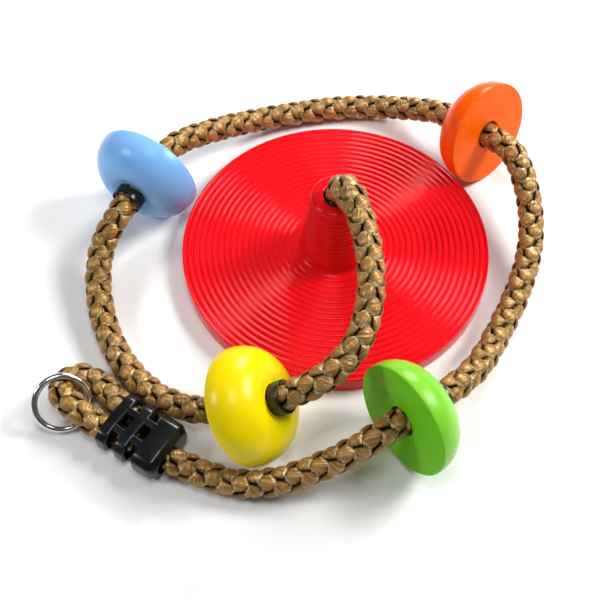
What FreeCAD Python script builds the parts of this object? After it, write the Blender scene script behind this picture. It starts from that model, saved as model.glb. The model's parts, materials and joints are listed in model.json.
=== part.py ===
import FreeCAD, Part
import math
import os
import Sketcher

V = FreeCAD.Vector

# A disc swing: a ridged moulded seat, a braided rope with four footholds, and an eye
# with a steel ring. It lies on the floor, Z = 0, with the seat's axis on Z. Millimetres.

DIMS = {
    # seat
    "seat_radius": 142.5, "seat_height": 18, "seat_wall": 3.5, "rim_round": 2.5,
    "groove_start": 139, "groove_pitch": 5.7, "groove_count": 18,
    "groove_width": 2, "groove_floor": 0.8, "groove_depth": 1.1,
    "cone_top": 94, "cone_base_radius": 33, "cone_top_radius": 23.5,
    "cone_fillet": 5, "cone_lip": 4, "cone_hole_radius": 12.5, "hole_round": 2,
    "flank_start": 83, "flank_pitch": 5, "flank_count": 11, "flank_depth": 0.7,
    "rib_count": 8, "rib_width": 3, "rib_height": 7, "hoop_radius": 90,
    # rope and the stopper knot on its end
    "rope_radius": 11, "knot_radius": 21, "knot_bottom": 26, "knot_height": 46,
    "knot_low": 10, "knot_high": 31, "knot_round": 7,
    # footholds and their collars
    "bead_radius": 50, "bead_thick": 34, "bead_band": 4, "bead_edge": 2.5, "bead_bore": 13,
    "collar_radius": 14.2, "collar_length": 10, "collar_bevel": 1.5, "collar_gap": 0.5,
    # clamp
    "clamp_length": 60, "clamp_width": 50, "clamp_height": 28, "clamp_bevel": 7,
    "cavity_start": 19, "leg_offset": 12.2, "exit_near": 3.9, "exit_far": 6.8,
    "window_first": 23, "window_second": 41.5, "window_length": 8,
    "web_inner": 6.5, "web_outer": 12, "clamp_chamfer": 3,
    # ring
    "ring_radius": 23.2, "wire_radius": 2.8,
}

# The rope's route from the knot under the cone to the tail inside the clamp.
ROUTE = [
    V(0, 0, 72), V(0, 0, 94), V(2, -3, 106), V(6, -11, 114), V(12, -23, 117),
    V(20, -49, 115), V(25, -85, 111), V(23, -122, 105), V(10, -157, 94),
    V(-26, -182, 79), V(-103, -175, 22), V(-148, -162, 15), V(-184, -129, 12),
    V(-207, -87, 12), V(-217, -47, 17), V(-216, -13, 29), V(-200, 10, 50),
    V(-161, 89, 52), V(-129, 117, 40), V(-93, 146, 22), V(-46, 166, 13),
    V(4, 176, 12), V(48, 176, 14), V(86, 162, 25), V(110, 149, 35),
    V(166, 86, 58), V(176, 58, 50), V(182, 23, 38), V(178, -15, 28),
    V(164, -54, 22), V(146, -88, 21), V(127, -123, 27), V(103, -156, 42),
    V(32, -207, 54), V(13, -217, 46), V(-17, -227, 32), V(-50, -234, 18),
    V(-84, -234, 12), V(-112, -225, 13), V(-138, -214, 15), V(-204, -182, 15),
    V(-218, -172, 22), V(-233, -161, 24), V(-237, -149, 21), V(-230, -137, 14),
    V(-218, -134, 12), V(-200, -146, 12), V(-188, -162, 14), V(-171, -174, 15),
]

# Each foothold: the run of the route it is threaded on, and how far along that run.
FOOTHOLDS = {"yellow": (9, 0.51), "blue": (16, 0.49), "orange": (24, 0.485), "green": (32, 0.58)}

# The share of the shorter run that a corner's arc takes up on each side.
ARC_SHARE = 0.45

CLAMP_END = V(-139, -209.5, 15)
CLAMP_AXIS = V(-0.837, 0.548, 0)
RING_CENTRE = V(-233.8, -163.8, 19.9)
RING_NORMAL = V(0.51, -0.87, 1)


def write_sheet(doc):
    """Put the driving dimensions in a spreadsheet, each with its alias."""
    sheet = doc.addObject("Spreadsheet::Sheet", "dims")
    for row, (name, value) in enumerate(DIMS.items(), start=1):
        sheet.set("A%d" % row, name)
        sheet.set("B%d" % row, str(value))
        sheet.setAlias("B%d" % row, name)
    doc.recompute()


def number(formula):
    """What a formula of cells comes to, such as "dims.seat_radius - 3"."""
    value = FreeCAD.ActiveDocument.dims.evalExpression(formula)
    return float(getattr(value, "Value", value))


def cell(name):
    return number("dims." + name)


def new_body(doc, label):
    body = doc.addObject("PartDesign::Body", label)
    body.Label = label
    return body


def new_sketch(body, role, name, height=None):
    """A sketch on one of the body's origin planes, raised by a formula if one is given."""
    sketch = body.newObject("Sketcher::SketchObject", name)
    plane = [item for item in body.Origin.OriginFeatures if item.Role == role][0]
    sketch.AttachmentSupport = [(plane, "")]
    sketch.MapMode = "FlatFace"
    if height:
        sketch.setExpression("AttachmentOffset.Base.z", height)
    return sketch


def bind(sketch, kind, geometry, point, formula):
    """Tie one coordinate of a sketch point to cells; "0" puts it on the axis."""
    if formula == "0":
        axis = -2 if kind == "DistanceX" else -1
        sketch.addConstraint(Sketcher.Constraint("PointOnObject", geometry, point, axis))
        return
    datum = Sketcher.Constraint(kind, -1, 1, geometry, point, number(formula))
    index = sketch.addConstraint(datum)
    sketch.setExpression("Constraints[%d]" % index, formula)


def add_outline(sketch, corners):
    """A closed outline of straight lines, each corner a pair of formulas."""
    first = sketch.GeometryCount
    spots = [V(number(x), number(y), 0) for x, y in corners]
    for start, end in zip(spots, spots[1:] + spots[:1]):
        sketch.addGeometry(Part.LineSegment(start, end), False)
    for i, (x, y) in enumerate(corners):
        after = first + (i + 1) % len(corners)
        sketch.addConstraint(Sketcher.Constraint("Coincident", first + i, 2, after, 1))
        bind(sketch, "DistanceX", first + i, 1, x)
        bind(sketch, "DistanceY", first + i, 1, y)


def add_slot(sketch, near, far, radius):
    """A slot along the sketch's X axis: two half circles joined by two lines."""
    x0, x1, r = number(near), number(far), number(radius)
    first = sketch.GeometryCount
    quarter = math.pi / 2
    left = Part.Circle(V(x0, 0, 0), V(0, 0, 1), r)
    right = Part.Circle(V(x1, 0, 0), V(0, 0, 1), r)
    sketch.addGeometry(Part.ArcOfCircle(left, quarter, 3 * quarter), False)
    sketch.addGeometry(Part.LineSegment(V(x0, -r, 0), V(x1, -r, 0)), False)
    sketch.addGeometry(Part.ArcOfCircle(right, -quarter, quarter), False)
    sketch.addGeometry(Part.LineSegment(V(x1, r, 0), V(x0, r, 0)), False)
    for i in range(4):
        after = first + (i + 1) % 4
        sketch.addConstraint(Sketcher.Constraint("Tangent", first + i, 2, after, 1))
    bind(sketch, "DistanceX", first, 3, near)
    bind(sketch, "DistanceX", first + 2, 3, far)
    bind(sketch, "DistanceY", first, 3, "0")
    bind(sketch, "DistanceY", first + 2, 3, "0")
    index = sketch.addConstraint(Sketcher.Constraint("Radius", first, r))
    sketch.setExpression("Constraints[%d]" % index, radius)


def revolve(body, kind, sketch, name):
    """Revolution or Groove of a sketch, all the way round the sketch's vertical axis."""
    feature = body.newObject("PartDesign::" + kind, name)
    feature.Profile = sketch
    feature.ReferenceAxis = (sketch, ["V_Axis"])
    feature.Angle = 360
    body.Document.recompute()
    return feature


def ring_edges(shape, radius, height):
    """Names of the circular edges with this radius at this height."""
    names = []
    for i, edge in enumerate(shape.Edges, start=1):
        curve = edge.Curve
        if isinstance(curve, Part.Circle) and abs(curve.Radius - radius) < 0.01:
            if abs(curve.Center.z - height) < 0.01:
                names.append("Edge%d" % i)
    return names


def round_rings(body, base, rings, radius, name):
    """Fillet the circular edges given as pairs of radius and height."""
    names = [edge for ring in rings for edge in ring_edges(base.Shape, *ring)]
    fillet = body.newObject("PartDesign::Fillet", name)
    fillet.Base = (base, names)
    fillet.setExpression("Radius", radius)
    body.Document.recompute()
    return fillet


def make_seat(doc):
    """One hollow moulding: skirt, ridged plate, ringed cone, and ribs underneath."""
    body = new_body(doc, "seat_disc")
    under = "dims.seat_height - dims.seat_wall"
    profile = new_sketch(body, "XZ_Plane", "seat_profile")
    add_outline(profile, [
        ("dims.seat_radius - dims.seat_wall", "0"),
        ("dims.seat_radius", "0"),
        ("dims.seat_radius", "dims.seat_height"),
        ("dims.cone_base_radius", "dims.seat_height"),
        ("dims.cone_top_radius", "dims.cone_top"),
        ("dims.cone_hole_radius", "dims.cone_top"),
        ("dims.cone_hole_radius", "dims.cone_top - dims.seat_wall"),
        ("dims.cone_top_radius - dims.seat_wall", "dims.cone_top - dims.seat_wall"),
        ("dims.cone_base_radius - dims.seat_wall", under),
        ("dims.hoop_radius", under),
        ("dims.hoop_radius", under + " - dims.rib_height"),
        ("dims.hoop_radius + dims.rib_width", under + " - dims.rib_height"),
        ("dims.hoop_radius + dims.rib_width", under),
        ("dims.seat_radius - dims.seat_wall", under),
    ])
    shell = revolve(body, "Revolution", profile, "seat_shell")
    rim = (cell("seat_radius"), cell("seat_height"))
    foot = (cell("cone_base_radius"), cell("seat_height"))
    lip = (cell("cone_top_radius"), cell("cone_top"))
    mouth = (cell("cone_hole_radius"), cell("cone_top"))
    rounded = round_rings(body, shell, [rim], "dims.rim_round", "rim_rounding")
    rounded = round_rings(body, rounded, [foot], "dims.cone_fillet", "cone_foot_rounding")
    rounded = round_rings(body, rounded, [lip], "dims.cone_lip", "cone_lip_rounding")
    round_rings(body, rounded, [mouth], "dims.hole_round", "hole_rounding")
    ribs = add_seat_ribs(body)
    doc.recompute()
    plain = ribs.Shape.Volume
    cut_seat_grooves(body)
    cut_flank_rings(body)
    assert body.Shape.Volume < plain
    return body


def add_seat_ribs(body):
    """Radial ribs between the cone and the skirt, under the plate."""
    sketch = new_sketch(body, "XY_Plane", "rib_profile",
                        "dims.seat_height - dims.seat_wall - dims.rib_height")
    inner, outer = "dims.cone_base_radius - 1", "dims.seat_radius - dims.seat_wall + 1"
    side = "dims.rib_width / 2"
    add_outline(sketch, [(inner, "-" + side), (outer, "-" + side), (outer, side), (inner, side)])
    rib = body.newObject("PartDesign::Pad", "rib")
    rib.Profile = sketch
    rib.setExpression("Length", "dims.rib_height + 1")
    body.Document.recompute()
    ribs = body.newObject("PartDesign::PolarPattern", "ribs")
    ribs.Originals = [rib]
    ribs.Axis = (sketch, ["N_Axis"])
    ribs.Angle = 360
    ribs.setExpression("Occurrences", "dims.rib_count")
    body.Tip = ribs
    body.Document.recompute()
    return ribs


def cut_seat_grooves(body):
    """Concentric grooves that leave broad flat ridges for grip."""
    sketch = new_sketch(body, "XZ_Plane", "groove_profile")
    above, floor = "dims.seat_height + 0.2", "dims.seat_height - dims.groove_depth"
    for i in range(int(cell("groove_count"))):
        middle = "dims.groove_start - %d * dims.groove_pitch" % i
        add_outline(sketch, [
            (middle + " - dims.groove_floor / 2", floor),
            (middle + " + dims.groove_floor / 2", floor),
            (middle + " + dims.groove_width / 2", above),
            (middle + " - dims.groove_width / 2", above),
        ])
    revolve(body, "Groove", sketch, "grip_grooves")


def cut_flank_rings(body):
    """Fine V grooves round the cone's sloping side."""
    sketch = new_sketch(body, "XZ_Plane", "flank_profile")
    slope = "(dims.cone_base_radius - dims.cone_top_radius) / (dims.cone_top - dims.seat_height)"
    for i in range(int(cell("flank_count"))):
        level = "(dims.flank_start - %d * dims.flank_pitch)" % i
        side = "dims.cone_top_radius + (dims.cone_top - %s) * %s" % (level, slope)
        add_outline(sketch, [
            (side + " - dims.flank_depth", level),
            (side + " + dims.flank_depth", level + " - dims.flank_depth * 2"),
            (side + " + dims.flank_depth", level + " + dims.flank_depth * 2"),
        ])
    revolve(body, "Groove", sketch, "flank_rings")


def make_knot(doc):
    """The stopper knot that holds the seat up, as the solid of its outer shape."""
    body = new_body(doc, "rope_knot")
    sketch = new_sketch(body, "XZ_Plane", "knot_profile")
    add_outline(sketch, [
        ("0", "0"), ("dims.rope_radius", "0"), ("dims.knot_radius", "dims.knot_low"),
        ("dims.knot_radius", "dims.knot_high"), ("dims.rope_radius", "dims.knot_height"),
        ("0", "dims.knot_height"),
    ])
    knot = revolve(body, "Revolution", sketch, "knot")
    rings = [(cell("knot_radius"), cell("knot_low")), (cell("knot_radius"), cell("knot_high"))]
    round_rings(body, knot, rings, "dims.knot_round", "knot_rounding")
    body.Placement = FreeCAD.Placement(V(0, 0, cell("knot_bottom")), FreeCAD.Rotation())
    return body


def thread(index, share):
    """The spot and direction a share of the way along one run, looking back along it."""
    start, end = ROUTE[index], ROUTE[index + 1]
    back = V(start.sub(end)).normalize()
    return start.add(end.sub(start).multiply(share)), back


def make_foothold(doc, colour, index, share):
    """A turned bun with a flat face, a domed face towards the seat, and a rope bore."""
    body = new_body(doc, "foothold_" + colour)
    sketch = new_sketch(body, "XZ_Plane", "bun_profile")
    arc_radius = "(dims.bead_thick - dims.bead_band)"
    crown = "dims.bead_radius - " + arc_radius
    corners = [("dims.bead_bore", "dims.bead_thick"), ("dims.bead_bore", "0"),
               ("dims.bead_radius", "0"), ("dims.bead_radius", "dims.bead_band")]
    spots = [V(number(x), number(y), 0) for x, y in corners]
    for start, end in zip(spots, spots[1:]):
        sketch.addGeometry(Part.LineSegment(start, end), False)
    centre = V(number(crown), cell("bead_band"), 0)
    circle = Part.Circle(centre, V(0, 0, 1), number(arc_radius))
    sketch.addGeometry(Part.ArcOfCircle(circle, 0, math.pi / 2), False)
    top = V(centre.x, cell("bead_thick"), 0)
    sketch.addGeometry(Part.LineSegment(top, spots[0]), False)
    for line in range(5):
        after = (line + 1) % 5
        sketch.addConstraint(Sketcher.Constraint("Coincident", line, 2, after, 1))
    for line, (x, y) in enumerate(corners[:3]):
        bind(sketch, "DistanceX", line, 1, x)
        bind(sketch, "DistanceY", line, 1, y)
    bind(sketch, "DistanceX", 3, 3, crown)
    bind(sketch, "DistanceY", 3, 3, "dims.bead_band")
    sketch.addConstraint(Sketcher.Constraint("Vertical", 2))
    sketch.addConstraint(Sketcher.Constraint("Horizontal", 3, 3, 3, 1))
    sketch.addConstraint(Sketcher.Constraint("Vertical", 3, 3, 3, 2))
    bun = revolve(body, "Revolution", sketch, "bun")
    round_rings(body, bun, [(cell("bead_radius"), 0)], "dims.bead_edge", "flat_edge_rounding")
    spot, back = thread(index, share)
    base = spot.sub(back * (cell("bead_thick") / 2))
    body.Placement = FreeCAD.Placement(base, FreeCAD.Rotation(V(0, 0, 1), back))
    return body


def make_collar(doc, colour, index, share):
    """The moulded stop ring that is fixed on the rope against a foothold's dome."""
    body = new_body(doc, "collar_" + colour)
    sketch = new_sketch(body, "XZ_Plane", "collar_profile")
    bevel = "dims.collar_radius - dims.collar_bevel"
    add_outline(sketch, [
        ("dims.rope_radius", "0"), ("dims.collar_radius", "0"),
        ("dims.collar_radius", "dims.collar_length - dims.collar_bevel"),
        (bevel, "dims.collar_length"), ("dims.rope_radius", "dims.collar_length"),
    ])
    revolve(body, "Revolution", sketch, "collar")
    spot, back = thread(index, share)
    base = spot.add(back * (cell("bead_thick") / 2 + cell("collar_gap")))
    body.Placement = FreeCAD.Placement(base, FreeCAD.Rotation(V(0, 0, 1), back))
    return body


def make_clamp(doc):
    """The moulded clamp that closes the eye: an end block and two bands on four webs."""
    body = new_body(doc, "rope_clamp")
    half, tall = "dims.clamp_width / 2", "dims.clamp_height / 2"
    flat, low = half + " - dims.clamp_bevel", tall + " - dims.clamp_bevel"
    section = new_sketch(body, "YZ_Plane", "clamp_section")
    add_outline(section, [
        (half, "-(%s)" % low), (half, low), (flat, tall), ("-(%s)" % flat, tall),
        ("-" + half, low), ("-" + half, "-(%s)" % low),
        ("-(%s)" % flat, "-" + tall), (flat, "-" + tall),
    ])
    block = body.newObject("PartDesign::Pad", "block")
    block.Profile = section
    block.setExpression("Length", "dims.clamp_length")
    doc.recompute()
    chamfer_exit(body, block)
    windows = new_sketch(body, "XY_Plane", "windows")
    beyond = half + " + 1"
    for start in ("dims.window_first", "dims.window_second"):
        end = start + " + dims.window_length"
        for inner, outer in (("dims.web_outer", beyond), ("-dims.web_inner", "dims.web_inner"),
                             ("-(%s)" % beyond, "-dims.web_outer")):
            add_outline(windows, [(start, inner), (end, inner), (end, outer), (start, outer)])
    cut_pocket(body, windows, "window_cut", through=True)
    eye_side = new_sketch(body, "YZ_Plane", "two_legs", "dims.cavity_start")
    add_slot(eye_side, "-dims.leg_offset", "dims.leg_offset", "dims.rope_radius")
    cut_pocket(body, eye_side, "two_leg_cavity", reverse=True)
    exit_side = new_sketch(body, "YZ_Plane", "one_leg", "dims.cavity_start")
    add_slot(exit_side, "dims.exit_near", "dims.exit_far", "dims.rope_radius")
    cut_pocket(body, exit_side, "one_leg_exit")
    across = V(0, 0, 1).cross(CLAMP_AXIS)
    turn = FreeCAD.Rotation(CLAMP_AXIS, across, V(0, 0, 1), "XYZ")
    body.Placement = FreeCAD.Placement(CLAMP_END, turn)
    return body


def chamfer_exit(body, block):
    """Bevel the outer edges of the end that the single leg leaves by."""
    names = []
    for i, edge in enumerate(block.Shape.Edges, start=1):
        if all(abs(vertex.X) < 0.01 for vertex in edge.Vertexes):
            names.append("Edge%d" % i)
    chamfer = body.newObject("PartDesign::Chamfer", "exit_bevel")
    chamfer.Base = (block, names)
    chamfer.setExpression("Size", "dims.clamp_chamfer")
    body.Document.recompute()


def cut_pocket(body, sketch, name, reverse=False, through=False):
    """A pocket through everything on one side of its sketch, or on both; it must cut."""
    before = body.Shape.Volume
    pocket = body.newObject("PartDesign::Pocket", name)
    pocket.Profile = sketch
    pocket.Type = "ThroughAll"
    pocket.Midplane = through
    pocket.Reversed = reverse
    body.Document.recompute()
    assert body.Shape.Volume < before - 1, name + " cuts nothing"


def make_ring(doc):
    """The bright steel ring that is looped into the rope's eye."""
    ring = doc.addObject("Part::Torus", "hanging_ring")
    ring.Label = "hanging_ring"
    ring.setExpression("Radius1", "dims.ring_radius")
    ring.setExpression("Radius2", "dims.wire_radius")
    turn = FreeCAD.Rotation(V(0, 0, 1), RING_NORMAL)
    ring.Placement = FreeCAD.Placement(RING_CENTRE, turn)
    return ring


def bend_at(before, corner, after):
    """Where a corner's arc begins, its middle and its end; the radius and the turn."""
    incoming, outgoing = corner.sub(before), after.sub(corner)
    shorter = min(incoming.Length, outgoing.Length)
    turn = incoming.getAngle(outgoing)
    reach = ARC_SHARE * shorter
    radius = reach / math.tan(turn / 2)
    start = corner.sub(V(incoming).normalize() * reach)
    end = corner.add(V(outgoing).normalize() * reach)
    inward = V((start + end) * 0.5 - corner).normalize()
    middle = corner.add(inward * (radius / math.cos(turn / 2) - radius))
    return start, middle, end, radius, turn


def make_rope(doc):
    """The rope's tube: straight runs joined by tangent arcs along the route."""
    edges, last = [], ROUTE[0]
    for i in range(1, len(ROUTE) - 1):
        start, middle, end, radius, turn = bend_at(*ROUTE[i - 1:i + 2])
        print("bend %2d radius %5.0f turn %3.0f deg" % (i, radius, math.degrees(turn)))
        edges.append(Part.LineSegment(last, start).toShape())
        edges.append(Part.Arc(start, middle, end).toShape())
        last = end
    edges.append(Part.LineSegment(last, ROUTE[-1]).toShape())
    path = Part.Wire(edges)
    circle = Part.Circle(ROUTE[0], ROUTE[1].sub(ROUTE[0]), cell("rope_radius"))
    section = Part.Wire([circle.toShape()])
    rope = doc.addObject("Part::Feature", "rope")
    rope.Label = "rope"
    rope.Shape = path.makePipeShell([section], True, False)
    rope.Placement = FreeCAD.Placement()
    ideal = math.pi * cell("rope_radius") ** 2 * path.Length
    print("rope length %.0f, volume over section x length %.4f" % (
        path.Length, rope.Shape.Volume / ideal))
    return rope


def check_and_write(doc, pieces):
    """Refuse a failed feature or a bad shape, then write one STEP file per piece."""
    doc.recompute()
    for item in doc.Objects:
        if "Invalid" in item.State or "Error" in item.State:
            raise RuntimeError("%s failed: %s" % (item.Label, item.State))
    os.makedirs("parts", exist_ok=True)
    for piece in pieces:
        shape = piece.Shape
        if shape.isNull() or not shape.isValid() or len(shape.Solids) != 1:
            raise RuntimeError("bad shape: " + piece.Label)
        box = shape.optimalBoundingBox(False)
        print("%-16s %8.0f mm3  z %.2f to %.2f" % (piece.Label, shape.Volume, box.ZMin, box.ZMax))
        shape.exportStep("parts/%s.step" % piece.Label)


def main():
    doc = FreeCAD.newDocument("disc_swing")
    write_sheet(doc)
    pieces = [make_seat(doc), make_knot(doc), make_rope(doc), make_clamp(doc), make_ring(doc)]
    for colour, (index, share) in FOOTHOLDS.items():
        pieces.append(make_foothold(doc, colour, index, share))
        pieces.append(make_collar(doc, colour, index, share))
    check_and_write(doc, pieces)


main()
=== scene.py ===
import json
import math

import bpy
import numpy as np
from mathutils import Matrix, Vector


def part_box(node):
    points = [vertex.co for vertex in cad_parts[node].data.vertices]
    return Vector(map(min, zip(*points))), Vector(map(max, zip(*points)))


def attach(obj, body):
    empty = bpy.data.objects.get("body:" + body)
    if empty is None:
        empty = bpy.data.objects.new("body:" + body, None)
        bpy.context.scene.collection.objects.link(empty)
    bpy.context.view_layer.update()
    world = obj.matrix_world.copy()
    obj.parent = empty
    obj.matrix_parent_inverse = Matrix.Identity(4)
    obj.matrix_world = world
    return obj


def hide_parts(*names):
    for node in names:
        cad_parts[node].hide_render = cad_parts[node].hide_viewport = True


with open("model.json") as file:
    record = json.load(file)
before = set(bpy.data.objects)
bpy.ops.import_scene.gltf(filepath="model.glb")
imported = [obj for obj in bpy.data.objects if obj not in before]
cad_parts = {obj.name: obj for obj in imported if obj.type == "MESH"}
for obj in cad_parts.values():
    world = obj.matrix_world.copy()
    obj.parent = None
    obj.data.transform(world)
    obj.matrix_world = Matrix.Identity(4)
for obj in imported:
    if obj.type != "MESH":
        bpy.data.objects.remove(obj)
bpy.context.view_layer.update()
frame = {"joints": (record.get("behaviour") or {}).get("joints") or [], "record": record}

# A disc swing on a braided rope, lying on the floor with its seat's axis on Z. Metres.

# The rope's route, from the knot under the seat's cone to the tail inside the clamp.
ROUTE = [
    (0, 0, .072), (0, 0, .094), (.002, -.003, .106), (.006, -.011, .114),
    (.012, -.023, .117), (.020, -.049, .115), (.025, -.085, .111), (.023, -.122, .105),
    (.010, -.157, .094), (-.026, -.182, .079), (-.103, -.175, .022), (-.148, -.162, .015),
    (-.184, -.129, .012), (-.207, -.087, .012), (-.217, -.047, .017), (-.216, -.013, .029),
    (-.200, .010, .050), (-.161, .089, .052), (-.129, .117, .040), (-.093, .146, .022),
    (-.046, .166, .013), (.004, .176, .012), (.048, .176, .014), (.086, .162, .025),
    (.110, .149, .035), (.166, .086, .058), (.176, .058, .050), (.182, .023, .038),
    (.178, -.015, .028), (.164, -.054, .022), (.146, -.088, .021), (.127, -.123, .027),
    (.103, -.156, .042), (.032, -.207, .054), (.013, -.217, .046), (-.017, -.227, .032),
    (-.050, -.234, .018), (-.084, -.234, .012), (-.112, -.225, .013), (-.138, -.214, .015),
    (-.204, -.182, .015), (-.218, -.172, .022), (-.233, -.161, .024), (-.237, -.149, .021),
    (-.230, -.137, .014), (-.218, -.134, .012), (-.200, -.146, .012), (-.188, -.162, .014),
    (-.171, -.174, .015),
]

# The braid: four strands each way, over one and under one. A strand rides at STRAND_MIDDLE
# from the rope's line, further in or out by STRAND_WAVE. WIDE and THICK are half sizes.
STRANDS_EACH_WAY = 4
PITCH = 0.092
STRAND_MIDDLE, STRAND_WAVE = 0.0064, 0.0024
STRAND_WIDE, STRAND_THICK = 0.0058, 0.0031
STRAIGHTEN = 0.10
CREST_SHARPNESS = 0.9
CREST_WIDER, CREST_THICKER = 0.16, 0.14
STRAND_FLATNESS = 1.2
# The core's depth is low, so the material paints it nearly dark: painted shade in the gaps
# between strands.
CORE_RADIUS, CORE_DEPTH = 0.0083, 0.40
FIBRE_TWIST = 0.35
SECTION, STEP = 16, 0.0015
WOBBLE, WOBBLE_SPOTS = 0.035, 60
PLUMPNESS, PLUMP_SPOTS = 0.03, 140
# Painted shade on the rope where it is squeezed thinner: inside the clamp, in the seat's hole
# and at the knot's ends.
SQUEEZE_SHADE, SQUEEZE_SHADE_MOST = 3.5, 0.2
# Where on each strand's rise the painted glint at the ends of a crest peaks, and how far it
# spreads.
GLINT_RISE, GLINT_SPREAD = 0.35, 0.38
UV_LENGTH, UV_SHIFT = 0.01, 3.7
FLOOR_GAP = 0.0003

# Where the rope is pressed thinner or swells, as a share of its thickness. The hole and the
# bend are distances along the rope; the clamp's span is measured from CLAMP_END.
CLAMP_PRESS, CLAMP_SPAN, CLAMP_EASE, CLAMP_REACH = 0.20, (-.005, .061), .006, .03
HOLE_PRESS, HOLE_AT, HOLE_SPREAD = 0.13, .020, .007
BEND_SWELL, BEND_AT, BEND_SPREAD = 0.16, .047, .016
KNOT_STEPS, KNOT_THIN, KNOT_SWELL, KNOT_ROUND = 24, 0.55, 1.1, 0.6

SEAT_RADIUS, SEAT_HEIGHT, SEAT_WALL, SEAT_SEGMENTS = 0.1425, 0.018, 0.0035, 360
CONE_TOP, CONE_BASE_RADIUS, CONE_TOP_RADIUS, HOLE_RADIUS = 0.094, 0.033, 0.0235, 0.0125
HOOP_RADIUS, RIB_WIDTH, RIB_HEIGHT, RIB_COUNT = 0.090, 0.003, 0.007, 8
GROOVE_START, GROOVE_PITCH, GROOVE_COUNT, GROOVE_DEPTH = 0.139, 0.0057, 18, 0.0013
GROOVE_TOP_HALF, GROOVE_FLOOR_HALF, GROOVE_ROUND = 0.0017, 0.0005, 0.0022
FLANK_START, FLANK_PITCH, FLANK_COUNT, FLANK_DEPTH = 0.030, 0.0048, 12, 0.0009
FLANK_HALF, FLANK_LEAN, FLANK_ROUND = 0.0014, 0.0001, 0.0012

BEAD_RADIUS, BEAD_THICK, BEAD_BAND, BEAD_BORE = 0.050, 0.034, 0.004, 0.013
BEAD_SEGMENTS, BEAD_DOME_STEPS = 160, 32
COLLAR_RADIUS, COLLAR_LENGTH, COLLAR_GAP, COLLAR_SEGMENTS = 0.0142, 0.010, 0.0005, 128
LOBE_FROM, LOBE_REACH, LOBE_DEPTH = .0124, .0016, .0008

CLAMP_END = Vector((-0.139, -0.2095, 0.015))
CLAMP_AXIS = Vector((-0.837, 0.548, 0)).normalized()
CLAMP_HALF_WIDTH, CLAMP_HALF_HEIGHT, CLAMP_BEVEL, CLAMP_CROWN = .025, .014, .0060, .0014
CLAMP_FLAT, CLAMP_SLOT_RADIUS = .006, .0112
# Each band's start and end, its slot's two ends, and its outer edge's bevel and drop.
CLAMP_BANDS = [(.0, .023, .0039, .0068, .0055, .0032),
               (.031, .0415, -.0122, .0122, .0014, .0014),
               (.0495, .060, -.0122, .0122, .0014, .0014)]
CLAMP_WEBS = [(.0215, .0325), (.0400, .0510)]
WEB_MIDDLE, WEB_HALF, WEB_OUTER, WEB_INNER = .00925, .0031, .0136, .0104

RING_RADIUS, WIRE_RADIUS, RING_SEGMENTS, WIRE_SEGMENTS = .0232, .0028, 160, 28
WELD_SWELL, WELD_ANGLE, WELD_SPREAD = .05, 3.4, .05

# Main colour, its darker shade and the flat sawn face's colour.
PAINTS = {
    "yellow": ((0.82, 0.64, 0.001, 1), (0.75, 0.54, 0.001, 1), (0.90, 0.76, 0.03, 1)),
    "blue": ((0.23, 0.50, 0.92, 1), (0.16, 0.38, 0.82, 1), (0.30, 0.55, 0.92, 1)),
    "orange": ((0.99, 0.105, 0.001, 1), (0.84, 0.060, 0.001, 1), (0.98, 0.140, 0.003, 1)),
    "green": ((0.22, 0.57, 0.040, 1), (0.10, 0.44, 0.004, 1), (0.15, 0.58, 0.004, 1)),
}

CAMERA_EYE, CAMERA_TARGET = Vector((-0.033, -0.5335, 0.7842)), Vector((-0.033, -0.0494, 0))
CAMERA_LENS, CAMERA_SENSOR = 60, 36
FLOOR_REACH, WORLD_STRENGTH = 6.0, 0.10
# Each area light's name, place, target, side and watts.
LIGHTS = [("key", (1.2, 0.36, 1.2), (0, 0, 0), 0.6, 30),
          ("back", (0.4, 1.45, 0.9), (0, 0, 0), 0.5, 20),
          ("top", (0, -0.25, 1.7), (0, -0.1, 0), 0.6, 8),
          ("fill", (-1.3, -0.2, 1.0), (0, 0, 0), 0.35, 8)]


# ---------------------------------------------------------------- camera

def make_camera():
    data = bpy.data.cameras.new("camera")
    data.lens, data.sensor_width = CAMERA_LENS, CAMERA_SENSOR
    camera = bpy.data.objects.new("camera", data)
    bpy.context.scene.collection.objects.link(camera)
    aim_at(camera, CAMERA_EYE, CAMERA_TARGET)
    bpy.context.scene.camera = camera


def aim_at(obj, spot, target):
    """Put a camera or a light at a spot, facing the target."""
    obj.location = spot
    obj.rotation_euler = (Vector(target) - Vector(spot)).to_track_quat("-Z", "Y").to_euler()


# ---------------------------------------------------------------- mesh helpers

def new_object(name, vertices, faces, uvs=None, sharp=35):
    """A smooth-shaded mesh object, with edges over sharp degrees kept sharp.

    uvs has one pair for each face corner, in order.
    """
    mesh = bpy.data.meshes.new(name)
    mesh.from_pydata([tuple(v) for v in vertices], [], faces)
    if uvs is not None:
        layer = mesh.uv_layers.new(name="UVMap")
        layer.data.foreach_set("uv", np.asarray(uvs, np.float32).ravel())
    mesh.validate()
    mesh.shade_smooth()
    mesh.set_sharp_from_angle(angle=math.radians(sharp))
    obj = bpy.data.objects.new(name, mesh)
    bpy.context.scene.collection.objects.link(obj)
    return obj


def grid_faces(rows, columns, offset=0, close_rows=False, close_columns=True):
    """Quads of a grid of vertices, which may close on itself either way, and their UVs."""
    faces, uvs = [], []
    for i in range(rows if close_rows else rows - 1):
        for j in range(columns if close_columns else columns - 1):
            i1, j1 = (i + 1) % rows, (j + 1) % columns
            faces.append([offset + i * columns + j, offset + i * columns + j1,
                          offset + i1 * columns + j1, offset + i1 * columns + j])
            u0, u1, v0, v1 = i / rows, (i + 1) / rows, j / columns, (j + 1) / columns
            uvs += [(u0, v0), (u0, v1), (u1, v1), (u1, v0)]
    return faces, uvs


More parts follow.
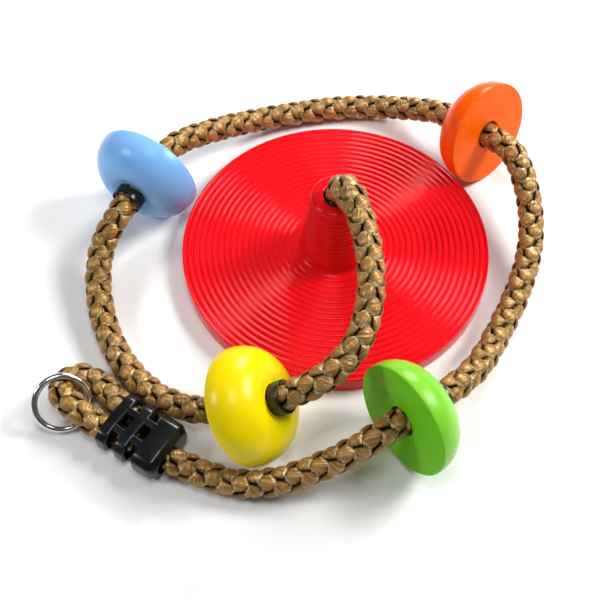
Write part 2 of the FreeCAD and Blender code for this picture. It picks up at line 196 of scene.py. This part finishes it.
def fillet(corners, steps=5):
    """A closed profile with its corners rounded; each corner is r, z and a radius."""
    points = []
    for i, (r, z, radius) in enumerate(corners):
        here = np.array((r, z), float)
        before = np.array(corners[i - 1][:2], float) - here
        after = np.array(corners[(i + 1) % len(corners)][:2], float) - here
        reach_in, reach_out = np.linalg.norm(before), np.linalg.norm(after)
        before, after = before / reach_in, after / reach_out
        half = math.acos(max(-1.0, min(1.0, float(before @ after)))) / 2
        if radius <= 0 or math.pi / 2 - half < 0.02:
            points.append(tuple(here))
            continue
        cut = min(radius / math.tan(half), 0.49 * reach_in, 0.49 * reach_out)
        radius = cut * math.tan(half)
        middle = (before + after) / np.linalg.norm(before + after)
        centre = here + middle * (radius / math.sin(half))
        start = here + before * cut - centre
        end = here + after * cut - centre
        span = math.acos(max(-1.0, min(1.0, float(start @ end) / radius ** 2)))
        for k in range(steps + 1):
            share = k / steps
            mix = (math.sin((1 - share) * span) * start + math.sin(share * span) * end)
            points.append(tuple(centre + mix / math.sin(span)))
    return points


def lathe(name, profile, segments):
    """A closed profile of r, z pairs turned all the way round the Z axis."""
    angles = np.arange(segments) * 2 * math.pi / segments
    r, z = np.array(profile).T
    x = np.outer(r, np.cos(angles))
    y = np.outer(r, np.sin(angles))
    vertices = np.stack([x, y, np.repeat(z[:, None], segments, 1)], 2).reshape(-1, 3)
    faces, uvs = grid_faces(len(profile), segments, close_rows=True)
    return new_object(name, vertices, faces, uvs)


def place(obj, origin, axis):
    """Move the mesh so that its Z runs along axis; each point keeps its first place too."""
    local = np.array([v.co for v in obj.data.vertices], np.float32)
    attribute = obj.data.attributes.new("local", "FLOAT_VECTOR", "POINT")
    attribute.data.foreach_set("vector", local.ravel())
    turn = Vector(axis).to_track_quat("Z", "Y")
    obj.data.transform(Matrix.LocRotScale(Vector(origin), turn, None))


# ---------------------------------------------------------------- the rope's line

def read_spline(name, route):
    """The points of a smooth NURBS line whose control points are the route's."""
    curve = bpy.data.curves.new(name, "CURVE")
    curve.dimensions = "3D"
    curve.resolution_u = 24
    spline = curve.splines.new("NURBS")
    spline.points.add(len(route) - 1)
    for point, spot in zip(spline.points, route):
        point.co = (*spot, 1)
    spline.order_u = 3
    spline.use_endpoint_u = True
    carrier = bpy.data.objects.new(name, curve)
    mesh = bpy.data.meshes.new_from_object(carrier)
    points = np.array([v.co for v in mesh.vertices], float)
    bpy.data.objects.remove(carrier)
    bpy.data.meshes.remove(mesh)
    return points


def carry_frame(points):
    """Distances along a line, its tangents, and normals that never twist about it."""
    steps = np.linalg.norm(np.diff(points, axis=0), axis=1)
    keep = np.concatenate([[True], steps > 1e-7])
    points = points[keep]
    steps = np.linalg.norm(np.diff(points, axis=0), axis=1)
    distance = np.concatenate([[0], np.cumsum(steps)])
    tangents = np.gradient(points, distance, axis=0)
    tangents /= np.linalg.norm(tangents, axis=1)[:, None]
    normals = [np.array((1.0, 0, 0))]
    for tangent in tangents:
        normal = normals[-1] - tangent * (normals[-1] @ tangent)
        normals.append(normal / np.linalg.norm(normal))
    return points, distance, tangents, np.array(normals[1:])


def sample_line(line, spots):
    """Places, tangents and both normals at the given distances along the line."""
    points, distance, tangents, normals = line

    def at(values):
        return np.stack([np.interp(spots, distance, values[:, k]) for k in range(3)], 1)

    tangent = at(tangents)
    tangent /= np.linalg.norm(tangent, axis=1)[:, None]
    normal = at(normals)
    normal -= tangent * (normal * tangent).sum(1)[:, None]
    normal /= np.linalg.norm(normal, axis=1)[:, None]
    return at(points), tangent, normal, np.cross(tangent, normal)


def lay_strand(k, spots, around, frames, scale, rng):
    """One flattened strand's points, section by section, and how far out each section rides."""
    centre, normal, binormal = frames
    hand, base = (1, 0) if k < STRANDS_EACH_WAY else (-1, math.pi / 4)
    phase = (k % STRANDS_EACH_WAY) * math.pi / 2 - base
    marks = np.linspace(spots[0], spots[-1], WOBBLE_SPOTS)
    wobble = np.interp(spots, marks, rng.normal(0, WOBBLE, WOBBLE_SPOTS))
    turn = hand * 2 * math.pi * spots / PITCH + phase
    theta = base + turn - STRAIGHTEN * np.sin(4 * turn) + wobble
    rise = np.tanh(CREST_SHARPNESS * np.cos(4 * turn)) / math.tanh(CREST_SHARPNESS)
    radius = (STRAND_MIDDLE + STRAND_WAVE * rise) * scale
    outward = np.cos(theta)[:, None] * normal + np.sin(theta)[:, None] * binormal
    path = centre + radius[:, None] * outward
    ahead = np.gradient(path, axis=0)
    ahead /= np.linalg.norm(ahead, axis=1)[:, None]
    side = np.cross(ahead, outward)
    side /= np.linalg.norm(side, axis=1)[:, None]
    lift = np.cross(side, ahead)
    marks = np.linspace(spots[0], spots[-1], PLUMP_SPOTS)
    plump = 1 + np.interp(spots, marks, rng.normal(0, PLUMPNESS, PLUMP_SPOTS))
    wide = STRAND_WIDE * scale * (1 + CREST_WIDER * rise) * plump
    thick = STRAND_THICK * scale * (1 + CREST_THICKER * rise) * plump
    c, s = np.cos(around), np.sin(around)
    flattened = np.sign(s) * np.abs(s) ** STRAND_FLATNESS
    section = (path[:, None, :]
               + (wide[:, None] * c)[:, :, None] * side[:, None, :]
               + (thick[:, None] * flattened)[:, :, None] * lift[:, None, :])
    return section.reshape(-1, 3), rise


def braid(name, line, start, end, swell=None, seed=3):
    """Eight flattened strands plaited round a stretch of the line, and a core inside.

    The attribute depth is higher the further out a point lies and on a strand's outer side, and
    low on the core and where the rope is squeezed; the material paints shade where it is low.
    tone differs by strand, and the tip glint attribute is highest on a strand's outside just
    before and after its highest stretch, where the material paints a glint.
    """
    rng = np.random.default_rng(seed)
    spots = np.linspace(start, end, int((end - start) / STEP) + 1)
    centre, _, normal, binormal = sample_line(line, spots)
    scale = np.ones(len(spots)) if swell is None else swell(spots)
    # Painted shade where the rope is squeezed, taken off its depth below.
    squeezed_shade = SQUEEZE_SHADE * np.clip(1 - scale, 0, SQUEEZE_SHADE_MOST)
    around = np.arange(SECTION) * 2 * math.pi / SECTION
    s = np.sin(around)
    count = SECTION * len(spots)
    vertices, faces, uvs, depth, tone, tip_glint = [], [], [], [], [], []
    for k in range(2 * STRANDS_EACH_WAY):
        points, rise = lay_strand(k, spots, around, (centre, normal, binormal), scale, rng)
        quads, corners = grid_faces(len(spots), SECTION, offset=k * count)
        corners = np.array(corners)
        corners[:, 0] = corners[:, 0] * (end - start) / UV_LENGTH + k * UV_SHIFT
        vertices.append(points)
        faces += quads
        uvs.append(corners)
        depth.append(np.repeat(0.5 * rise - squeezed_shade, SECTION) + 0.5 * np.tile(s, len(spots)))
        tone.append(np.full(count, rng.uniform(-1, 1)))
        # Painted glint just before and after each crest, on the strand's outer side.
        nearness = np.exp(-((rise - GLINT_RISE) / GLINT_SPREAD) ** 2)
        tip_glint.append(np.repeat(nearness, SECTION) * np.tile(s, len(spots)))
    # The core, which shows as painted shade in the gaps between strands.
    core = (np.cos(around)[None, :, None] * normal[:, None, :]
            + s[None, :, None] * binormal[:, None, :])
    core = centre[:, None, :] + core * (CORE_RADIUS * scale)[:, None, None]
    quads, corners = grid_faces(len(spots), SECTION, offset=len(vertices) * count)
    vertices.append(core.reshape(-1, 3))
    faces += quads
    uvs.append(np.array(corners))
    depth.append(np.full(count, CORE_DEPTH))
    tone.append(np.zeros(count))
    tip_glint.append(np.zeros(count))
    vertices = np.concatenate(vertices)
    vertices[:, 2] = np.maximum(vertices[:, 2], FLOOR_GAP)
    rope = new_object(name, vertices, faces, np.concatenate(uvs), sharp=80)
    for label, values in (("depth", depth), ("tone", tone), ("tip_glint", tip_glint)):
        attribute = rope.data.attributes.new(label, "FLOAT", "POINT")
        attribute.data.foreach_set("value", np.concatenate(values).astype(np.float32))
    return rope


# ---------------------------------------------------------------- materials

class Shader:
    """A material's node tree, with its Principled shader and short ways to add nodes."""

    def __init__(self, name, **sockets):
        self.material = bpy.data.materials.new(name)
        self.material.use_nodes = True
        self.nodes = self.material.node_tree.nodes
        self.links = self.material.node_tree.links
        self.shader = self.nodes["Principled BSDF"]
        for key, value in sockets.items():
            self.shader.inputs[key.replace("_", " ")].default_value = value

    def add(self, kind, inputs=None, **properties):
        node = self.nodes.new(kind)
        for key, value in properties.items():
            setattr(node, key, value)
        for key, value in (inputs or {}).items():
            if isinstance(value, bpy.types.NodeSocket):
                self.links.new(value, node.inputs[key])
            else:
                node.inputs[key].default_value = value
        return node

    def math(self, operation, a, b, c=0.0, clamp=False):
        return self.add("ShaderNodeMath", {0: a, 1: b, 2: c}, operation=operation,
                        use_clamp=clamp).outputs[0]

    def mix(self, share, first, second):
        node = self.add("ShaderNodeMix", data_type="RGBA")
        for index, value in ((0, share), (6, first), (7, second)):
            if isinstance(value, bpy.types.NodeSocket):
                self.links.new(value, node.inputs[index])
            else:
                node.inputs[index].default_value = value
        return node.outputs[2]

    def noise(self, vector, scale, detail=3.0, roughness=0.5):
        return self.add("ShaderNodeTexNoise", {"Vector": vector, "Scale": scale,
                        "Detail": detail, "Roughness": roughness}).outputs["Fac"]

    def ramp(self, value, low, high):
        """0 where value is at or under low, 1 where it is at or over high."""
        return self.add("ShaderNodeMapRange", {"Value": value, "From Min": low,
                        "From Max": high}, clamp=True).outputs[0]

    def bump(self, height, distance, strength=1.0, under=None):
        node = self.add("ShaderNodeBump", {"Height": height, "Distance": distance,
                        "Strength": strength})
        if under is not None:
            self.links.new(under, node.inputs["Normal"])
        return node.outputs[0]

    def to(self, socket, value):
        self.links.new(value, self.shader.inputs[socket])

    def where(self, kind="Object"):
        return self.add("ShaderNodeTexCoord").outputs[kind]


def paint(obj, material):
    obj.data.materials.clear()
    obj.data.materials.append(material)


def rope_material():
    s = Shader("rope_gold", Roughness=0.30, Anisotropic=0.7, Anisotropic_Rotation=0.25,
               Metallic=0.3, Specular_Tint=(1.0, 0.84, 0.58, 1))
    depth = s.add("ShaderNodeAttribute", attribute_name="depth").outputs["Fac"]
    tone = s.add("ShaderNodeAttribute", attribute_name="tone").outputs["Fac"]
    tip_glint = s.add("ShaderNodeAttribute", attribute_name="tip_glint").outputs["Fac"]
    split = s.add("ShaderNodeSeparateXYZ", {"Vector": s.where("UV")})
    along, around = split.outputs[0], split.outputs[1]
    twisted = s.math("ADD", around, s.math("MULTIPLY", along, FIBRE_TWIST))
    laid = s.add("ShaderNodeCombineXYZ", {"X": along, "Y": twisted}).outputs[0]
    fibre_map = s.add("ShaderNodeMapping", {"Vector": laid, "Scale": (0.7, 34, 1)}).outputs[0]
    fibres = s.noise(fibre_map, 1.0, 3.0, 0.6)
    yarn_map = s.add("ShaderNodeMapping", {"Vector": laid, "Scale": (0.5, 13, 1)}).outputs[0]
    yarns = s.noise(yarn_map, 1.0, 2.0)
    patch = s.noise(s.where(), 60, 2.0)
    dark, gold = (0.012, 0.004, 0.0004, 1), (0.38, 0.178, 0.028, 1)
    # Pale colour for the fibre flecks and for the painted glint.
    light = (1.0, 0.78, 0.42, 1)
    # Painted shade: colour runs from dark in the creases, on the strands' undersides and on the
    # core to gold on the strands' outer tops.
    share = s.ramp(depth, 0.36, 0.93)
    share = s.math("ADD", share, s.math("MULTIPLY", tone, 0.06), clamp=True)
    s.to("Specular IOR Level", share)
    colour = s.mix(share, dark, gold)
    colour = s.mix(s.math("MULTIPLY", s.ramp(yarns, 0.54, 0.36), 0.45), colour, dark)
    # Pale fibre flecks, fading where the painted shade falls.
    fleck = s.math("MULTIPLY", s.ramp(fibres, 0.50, 0.62), s.math("MULTIPLY", share, 0.26))
    colour = s.mix(fleck, colour, light)
    # Painted glint: pale, broken up by the fibres, at the ends of each crest.
    painted_glint = s.math("MULTIPLY", s.ramp(tip_glint, 0.30, 0.90), s.ramp(fibres, 0.34, 0.56))
    colour = s.mix(s.math("MULTIPLY", painted_glint, 0.9), colour, light)
    colour = s.mix(s.math("MULTIPLY", s.ramp(patch, 0.45, 0.7), 0.2), colour, dark)
    s.to("Base Color", colour)
    tangent = s.add("ShaderNodeTangent", direction_type="UV_MAP", uv_map="UVMap").outputs[0]
    s.to("Tangent", tangent)
    coarse = s.bump(yarns, 0.0010, 1.0)
    s.to("Normal", s.bump(fibres, 0.0005, 1.0, under=coarse))
    return s.material


def seat_material():
    s = Shader("seat_red", Specular_IOR_Level=0.26, Specular_Tint=(1, 0.65, 0.65, 1))
    spot = s.where()
    cloud = s.noise(spot, 9, 3.0)
    red, deep = (0.80, 0.008, 0.014, 1), (0.66, 0.004, 0.009, 1)
    s.to("Base Color", s.mix(s.ramp(cloud, 0.35, 0.7), red, deep))
    grain = s.noise(spot, 1400, 2.0)
    wear = s.noise(spot, 38, 4.0, 0.65)
    s.to("Roughness", s.math("ADD", s.math("MULTIPLY", wear, 0.10), 0.07))
    s.to("Normal", s.bump(grain, 0.00006, 0.5))
    return s.material


def wood_material(name, colour, deep, flat):
    tint = [0.65 + 0.35 * channel for channel in colour[:3]]
    s = Shader(name, Specular_Tint=(*tint, 1))
    spot = s.add("ShaderNodeAttribute", attribute_name="local").outputs["Vector"]
    z = s.add("ShaderNodeSeparateXYZ", {"Vector": spot}).outputs[2]
    face = s.ramp(z, 0.0012, 0.0002)
    stretched = s.add("ShaderNodeMapping", {"Vector": spot, "Scale": (1, 11, 1)}).outputs[0]
    grain = s.noise(stretched, 110, 4.0, 0.6)
    crossed = s.add("ShaderNodeMapping", {"Vector": spot, "Rotation": (0, 0, 1.1),
                    "Scale": (1, 8, 1)}).outputs[0]
    saw = s.noise(crossed, 42, 3.0, 0.55)
    cloud = s.noise(spot, 26, 3.0)
    base = s.mix(s.math("MULTIPLY", s.ramp(cloud, 0.4, 0.75), 0.5), colour, deep)
    end = s.mix(s.math("MULTIPLY", s.ramp(saw, 0.44, 0.60), 0.75), flat, base)
    end = s.mix(s.math("MULTIPLY", s.ramp(grain, 0.5, 0.66), 0.55), end, deep)
    s.to("Base Color", s.mix(face, base, end))
    s.to("Specular IOR Level", s.math("MULTIPLY_ADD", face, -0.2, 0.3))
    s.to("Roughness", s.math("ADD", s.math("MULTIPLY", face, 0.16),
                             s.math("ADD", s.math("MULTIPLY", cloud, 0.12), 0.20)))
    ridges = s.math("MULTIPLY", s.math("ADD", grain, saw), s.math("ADD", face, 0.10))
    s.to("Normal", s.bump(ridges, 0.00035, 0.55))
    return s.material


def black_material():
    s = Shader("moulded_black", Roughness=0.4, Specular_IOR_Level=0.5)
    spot = s.where()
    wear = s.noise(spot, 55, 4.0, 0.65)
    s.to("Base Color", s.mix(s.ramp(wear, 0.4, 0.75), (0.003, 0.004, 0.005, 1),
                             (0.011, 0.011, 0.010, 1)))
    s.to("Roughness", s.math("ADD", s.math("MULTIPLY", wear, 0.20), 0.15))
    s.to("Normal", s.bump(s.noise(spot, 900, 2.0), 0.00008, 0.6))
    return s.material


def steel_material():
    s = Shader("ring_steel", Metallic=1.0, Roughness=0.2)
    spot = s.where()
    scratch_map = s.add("ShaderNodeMapping", {"Vector": spot, "Scale": (1, 1, 9)}).outputs[0]
    scratch = s.noise(scratch_map, 420, 3.0, 0.6)
    s.to("Base Color", s.mix(s.ramp(scratch, 0.35, 0.75), (0.80, 0.81, 0.83, 1),
                             (0.55, 0.56, 0.58, 1)))
    s.to("Roughness", s.math("ADD", s.math("MULTIPLY", scratch, 0.14), 0.10))
    s.to("Normal", s.bump(scratch, 0.00003, 0.4))
    return s.material


def floor_material():
    s = Shader("floor_white", Roughness=0.8, Specular_IOR_Level=0.1)
    tint = s.noise(s.where(), 3, 2.0)
    s.to("Base Color", s.mix(tint, (0.90, 0.90, 0.90, 1), (0.93, 0.93, 0.93, 1)))
    return s.material


# ---------------------------------------------------------------- seat

def seat_profile():
    """The closed half section of the seat's shell, from the foot ring round and back."""
    under = SEAT_HEIGHT - SEAT_WALL
    corners = [(SEAT_RADIUS - SEAT_WALL, 0, .0006), (SEAT_RADIUS, 0, .0006),
               (SEAT_RADIUS, SEAT_HEIGHT, .0025)]
    floor = SEAT_HEIGHT - GROOVE_DEPTH
    for i in range(GROOVE_COUNT):
        middle = GROOVE_START - i * GROOVE_PITCH
        corners += [(middle + GROOVE_TOP_HALF, SEAT_HEIGHT, GROOVE_ROUND),
                    (middle + GROOVE_FLOOR_HALF, floor, .0005),
                    (middle - GROOVE_FLOOR_HALF, floor, .0005),
                    (middle - GROOVE_TOP_HALF, SEAT_HEIGHT, GROOVE_ROUND)]
    slope = (CONE_BASE_RADIUS - CONE_TOP_RADIUS) / (CONE_TOP - SEAT_HEIGHT)
    corners.append((CONE_BASE_RADIUS, SEAT_HEIGHT, .005))
    for i in range(FLANK_COUNT):
        level = FLANK_START + i * FLANK_PITCH
        side = CONE_TOP_RADIUS + (CONE_TOP - level) * slope
        corners += [(side, level - FLANK_HALF, FLANK_ROUND),
                    (side - FLANK_DEPTH, level, .0004),
                    (side - FLANK_LEAN, level + FLANK_HALF, FLANK_ROUND)]
    corners += [(CONE_TOP_RADIUS, CONE_TOP, .005), (HOLE_RADIUS, CONE_TOP, .002),
                (HOLE_RADIUS, CONE_TOP - SEAT_WALL, .0008),
                (CONE_TOP_RADIUS - SEAT_WALL, CONE_TOP - SEAT_WALL, .002),
                (CONE_BASE_RADIUS - SEAT_WALL, under, .002),
                (HOOP_RADIUS, under, .0008), (HOOP_RADIUS, under - RIB_HEIGHT, .0008),
                (HOOP_RADIUS + RIB_WIDTH, under - RIB_HEIGHT, .0008),
                (HOOP_RADIUS + RIB_WIDTH, under, .0008),
                (SEAT_RADIUS - SEAT_WALL, under, .0015)]
    return fillet(corners)


def make_seat(material):
    seat = lathe("seat_shell", seat_profile(), SEAT_SEGMENTS)
    paint(seat, material)
    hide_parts("seat_disc")
    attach(seat, "seat")
    ribs = make_ribs()
    paint(ribs, material)
    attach(ribs, "seat")


def make_ribs():
    """The straight ribs under the plate, each a bar with rounded lower edges."""
    sunk = .0005
    top = SEAT_HEIGHT - SEAT_WALL + sunk
    low = top - RIB_HEIGHT - sunk
    half = RIB_WIDTH / 2
    section = fillet([(-half, top, 0), (-half, low, .0007), (half, low, .0007), (half, top, 0)])
    vertices, faces = [], []
    ends = (CONE_BASE_RADIUS - .002, SEAT_RADIUS - SEAT_WALL + .001)
    for i in range(RIB_COUNT):
        angle = 2 * math.pi * i / RIB_COUNT
        out = np.array((math.cos(angle), math.sin(angle), 0))
        side = np.array((-math.sin(angle), math.cos(angle), 0))
        first = len(vertices)
        for reach in ends:
            for across, height in section:
                vertices.append(out * reach + side * across + np.array((0, 0, height)))
        faces += grid_faces(2, len(section), offset=first)[0]
        faces.append(list(range(first, first + len(section)))[::-1])
        faces.append(list(range(first + len(section), first + 2 * len(section))))
    return new_object("seat_ribs", vertices, faces)


# ---------------------------------------------------------------- footholds, collars

def make_foothold(colour, material):
    joint = next(j for j in frame["joints"] if j["name"] == colour + "_spin")
    axis, centre = Vector(joint["axis"]), Vector(joint["pos_m"])
    dome = BEAD_THICK - BEAD_BAND
    crown = BEAD_RADIUS - dome
    profile = fillet([(BEAD_BORE, BEAD_THICK, .001), (BEAD_BORE, 0, .0012),
                      (BEAD_RADIUS, 0, .0025), (BEAD_RADIUS, BEAD_BAND, 0)])
    for i in range(1, BEAD_DOME_STEPS + 1):
        angle = math.pi / 2 * i / BEAD_DOME_STEPS
        profile.append((crown + dome * math.cos(angle), BEAD_BAND + dome * math.sin(angle)))
    bead = lathe("bun_" + colour, profile, BEAD_SEGMENTS)
    place(bead, centre - axis * (BEAD_THICK / 2), axis)
    paint(bead, material)
    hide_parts("foothold_" + colour)
    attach(bead, "foothold_" + colour)
    return centre, axis


def make_collar(colour, centre, axis, material):
    """A bevelled stop ring whose inner lip is lobed round the rope's strands."""
    profile = fillet([(.0108, .0002, .0003), (COLLAR_RADIUS, .0002, .0006),
                      (COLLAR_RADIUS, COLLAR_LENGTH - .0010, .0014),
                      (.0134, COLLAR_LENGTH, .0005),
                      (.0126, COLLAR_LENGTH - .0024, .0004),
                      (.0118, COLLAR_LENGTH - .0014, .0005),
                      (.0108, COLLAR_LENGTH - .0020, .0004)])
    vertices = []
    for r, z in profile:
        for k in range(COLLAR_SEGMENTS):
            angle = 2 * math.pi * k / COLLAR_SEGMENTS
            lobe = max(0.0, (LOBE_FROM - r) / LOBE_REACH) * LOBE_DEPTH * math.cos(8 * angle)
            vertices.append(((r + lobe) * math.cos(angle), (r + lobe) * math.sin(angle), z))
    faces, uvs = grid_faces(len(profile), COLLAR_SEGMENTS, close_rows=True)
    collar = new_object("stop_" + colour, vertices, faces, uvs)
    place(collar, centre + axis * (BEAD_THICK / 2 + COLLAR_GAP), axis)
    paint(collar, material)
    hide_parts("collar_" + colour)
    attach(collar, "rope_assembly")
    return collar


# ---------------------------------------------------------------- clamp and ring

def clamp_outline(grow):
    """The clamp's outer section: a bar with bevelled long edges, made larger by grow."""
    half, tall = CLAMP_HALF_WIDTH + grow, CLAMP_HALF_HEIGHT + grow
    bevel, crown, flat = CLAMP_BEVEL, CLAMP_CROWN, CLAMP_FLAT
    return fillet([(half, -tall + bevel, .003), (half, tall - bevel, .004),
                   (half - bevel, tall - crown, .008), (flat, tall, .02), (-flat, tall, .02),
                   (bevel - half, tall - crown, .008), (-half, tall - bevel, .004),
                   (-half, bevel - tall, .003), (bevel - half, crown - tall, .005),
                   (-flat, -tall, .02), (flat, -tall, .02),
                   (half - bevel, crown - tall, .005)])


def slot_loop(outline, near, far, radius):
    """A slot's outline, with one point for each point of the outline round it."""
    loop = []
    for y, z in outline:
        middle = min(max(y * 0.5, near), far)
        away = math.hypot(y - middle, z)
        loop.append((middle + (y - middle) * radius / away, z * radius / away))
    return loop


def clamp_band(start, end, near, far, bevel, drop):
    """A band of the clamp with rounded outer edges, open inside along a slot."""
    steps = fillet([(start, -drop, .0016), (start + bevel, 0, .0045),
                    (end, 0, .0011), (end, -.02, 0), (start, -.02, 0)])[:-2]
    outline = clamp_outline(0)
    vertices = []
    for x, grow in steps:
        vertices += [(x, y, z) for y, z in clamp_outline(grow)]
    for x in (end, start):
        slot = slot_loop(outline, near, far, CLAMP_SLOT_RADIUS)
        vertices += [(x, y, z) for y, z in slot]
    return vertices, grid_faces(len(steps) + 2, len(outline), close_rows=True)[0]


def clamp_web(start, end, middle, side):
    """A short bridge between two bands, on the top or the bottom."""
    low, high = middle - WEB_HALF, middle + WEB_HALF
    outer, inner = side * WEB_OUTER, side * WEB_INNER
    section = fillet([(low, outer, .0008), (high, outer, .0008),
                      (high, inner, .0004), (low, inner, .0004)], steps=3)
    vertices = [(x, y, z) for x in (start, end) for y, z in section]
    faces = grid_faces(2, len(section))[0]
    count = len(section)
    return vertices, faces + [list(range(count))[::-1], list(range(count, 2 * count))]


def make_clamp(material):
    parts = [clamp_band(*band) for band in CLAMP_BANDS]
    for start, end in CLAMP_WEBS:
        for side in (-1, 1):
            parts.append(clamp_web(start, end, WEB_MIDDLE, side))
            parts.append(clamp_web(start, end, -WEB_MIDDLE, side))
    vertices, faces = [], []
    for points, quads in parts:
        faces += [[i + len(vertices) for i in quad] for quad in quads]
        vertices += points
    clamp = new_object("clamp_body", vertices, faces)
    across = Vector((0, 0, 1)).cross(CLAMP_AXIS)
    turn = Matrix((CLAMP_AXIS, across, Vector((0, 0, 1)))).transposed().to_4x4()
    clamp.data.transform(Matrix.Translation(CLAMP_END) @ turn)
    paint(clamp, material)
    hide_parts("rope_clamp")
    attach(clamp, "rope_assembly")
    return clamp


def make_ring(material):
    """A welded steel ring: a torus with a faint thickening at its weld."""
    mount = next(m for m in frame["record"]["mounts"] if m["name"] == "hanging_ring")
    vertices = []
    for i in range(RING_SEGMENTS):
        angle = 2 * math.pi * i / RING_SEGMENTS
        weld = math.exp(-((angle - WELD_ANGLE) / WELD_SPREAD) ** 2)
        wire = WIRE_RADIUS * (1 + WELD_SWELL * weld)
        for j in range(WIRE_SEGMENTS):
            turn = 2 * math.pi * j / WIRE_SEGMENTS
            reach = RING_RADIUS + wire * math.cos(turn)
            vertices.append((reach * math.cos(angle), reach * math.sin(angle),
                             wire * math.sin(turn)))
    faces, uvs = grid_faces(RING_SEGMENTS, WIRE_SEGMENTS, close_rows=True)
    ring = new_object("steel_ring", vertices, faces, uvs)
    place(ring, mount["pos_m"], mount["axis"])
    paint(ring, material)
    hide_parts("hanging_ring")
    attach(ring, "ring")


# ---------------------------------------------------------------- rope and knot

def make_rope(material):
    line = carry_frame(read_spline("rope_line", ROUTE))
    start = np.array(CLAMP_END)
    along, across = np.array(CLAMP_AXIS), np.cross((0, 0, 1), np.array(CLAMP_AXIS))

    def squeeze(spots):
        """Thinner where the clamp and the seat's hole press it, fuller where it bends."""
        offset = sample_line(line, spots)[0] - start
        x, y = offset @ along, offset @ across
        first, last = CLAMP_SPAN
        inside = (np.clip((x - first) / CLAMP_EASE, 0, 1)
                  * np.clip((last - x) / CLAMP_EASE, 0, 1))
        inside *= np.abs(y) < CLAMP_REACH
        fuller = BEND_SWELL * np.exp(-((spots - BEND_AT) / BEND_SPREAD) ** 2)
        held = HOLE_PRESS * np.exp(-((spots - HOLE_AT) / HOLE_SPREAD) ** 2)
        return 1 + fuller - held - CLAMP_PRESS * inside * inside * (3 - 2 * inside)

    rope = braid("braided_rope", line, 0, line[1][-1], swell=squeeze)
    paint(rope, material)
    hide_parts("rope")
    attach(rope, "rope_assembly")
    return rope, line


def make_knot(material):
    """The stopper knot under the cone: the braid swells to a tight wall knot."""
    low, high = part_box("rope_knot")
    spots = [(0, 0, low.z + (high.z - low.z) * k / KNOT_STEPS) for k in range(KNOT_STEPS + 1)]
    line = carry_frame(np.array(spots, float))
    length = line[1][-1]

    def swell(distance):
        share = distance / length
        bulge = np.sin(np.pi * np.clip(share, 0.02, 0.97)) ** KNOT_ROUND
        return KNOT_THIN + KNOT_SWELL * bulge

    knot = braid("stopper_knot", line, 0, length, swell=swell, seed=8)
    paint(knot, material)
    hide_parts("rope_knot")
    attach(knot, "rope_assembly")
    return knot


# ---------------------------------------------------------------- stage

def add_light(name, spot, target, size, power):
    data = bpy.data.lights.new(name, "AREA")
    data.shape, data.size, data.energy = "SQUARE", size, power
    light = bpy.data.objects.new(name, data)
    bpy.context.scene.collection.objects.link(light)
    aim_at(light, spot, target)


def make_stage():
    size = FLOOR_REACH
    corners = [(-size, -size, 0), (size, -size, 0), (size, size, 0), (-size, size, 0)]
    floor = new_object("floor", corners, [[0, 1, 2, 3]])
    paint(floor, floor_material())
    world = bpy.data.worlds.new("studio")
    bpy.context.scene.world = world
    world.use_nodes = True
    background = world.node_tree.nodes["Background"]
    background.inputs["Color"].default_value = (1, 1, 1, 1)
    background.inputs["Strength"].default_value = WORLD_STRENGTH
    for light in LIGHTS:
        add_light(*light)
    bpy.context.scene.view_settings.view_transform = "Standard"


def main():
    make_camera()
    gold, black = rope_material(), black_material()
    rope, line = make_rope(gold)
    knot = make_knot(gold)
    make_seat(seat_material())
    for colour, shades in PAINTS.items():
        centre, axis = make_foothold(colour, wood_material("wood_" + colour, *shades))
        make_collar(colour, centre, axis, black)
    clamp = make_clamp(black)
    make_ring(steel_material())
    make_stage()


main()
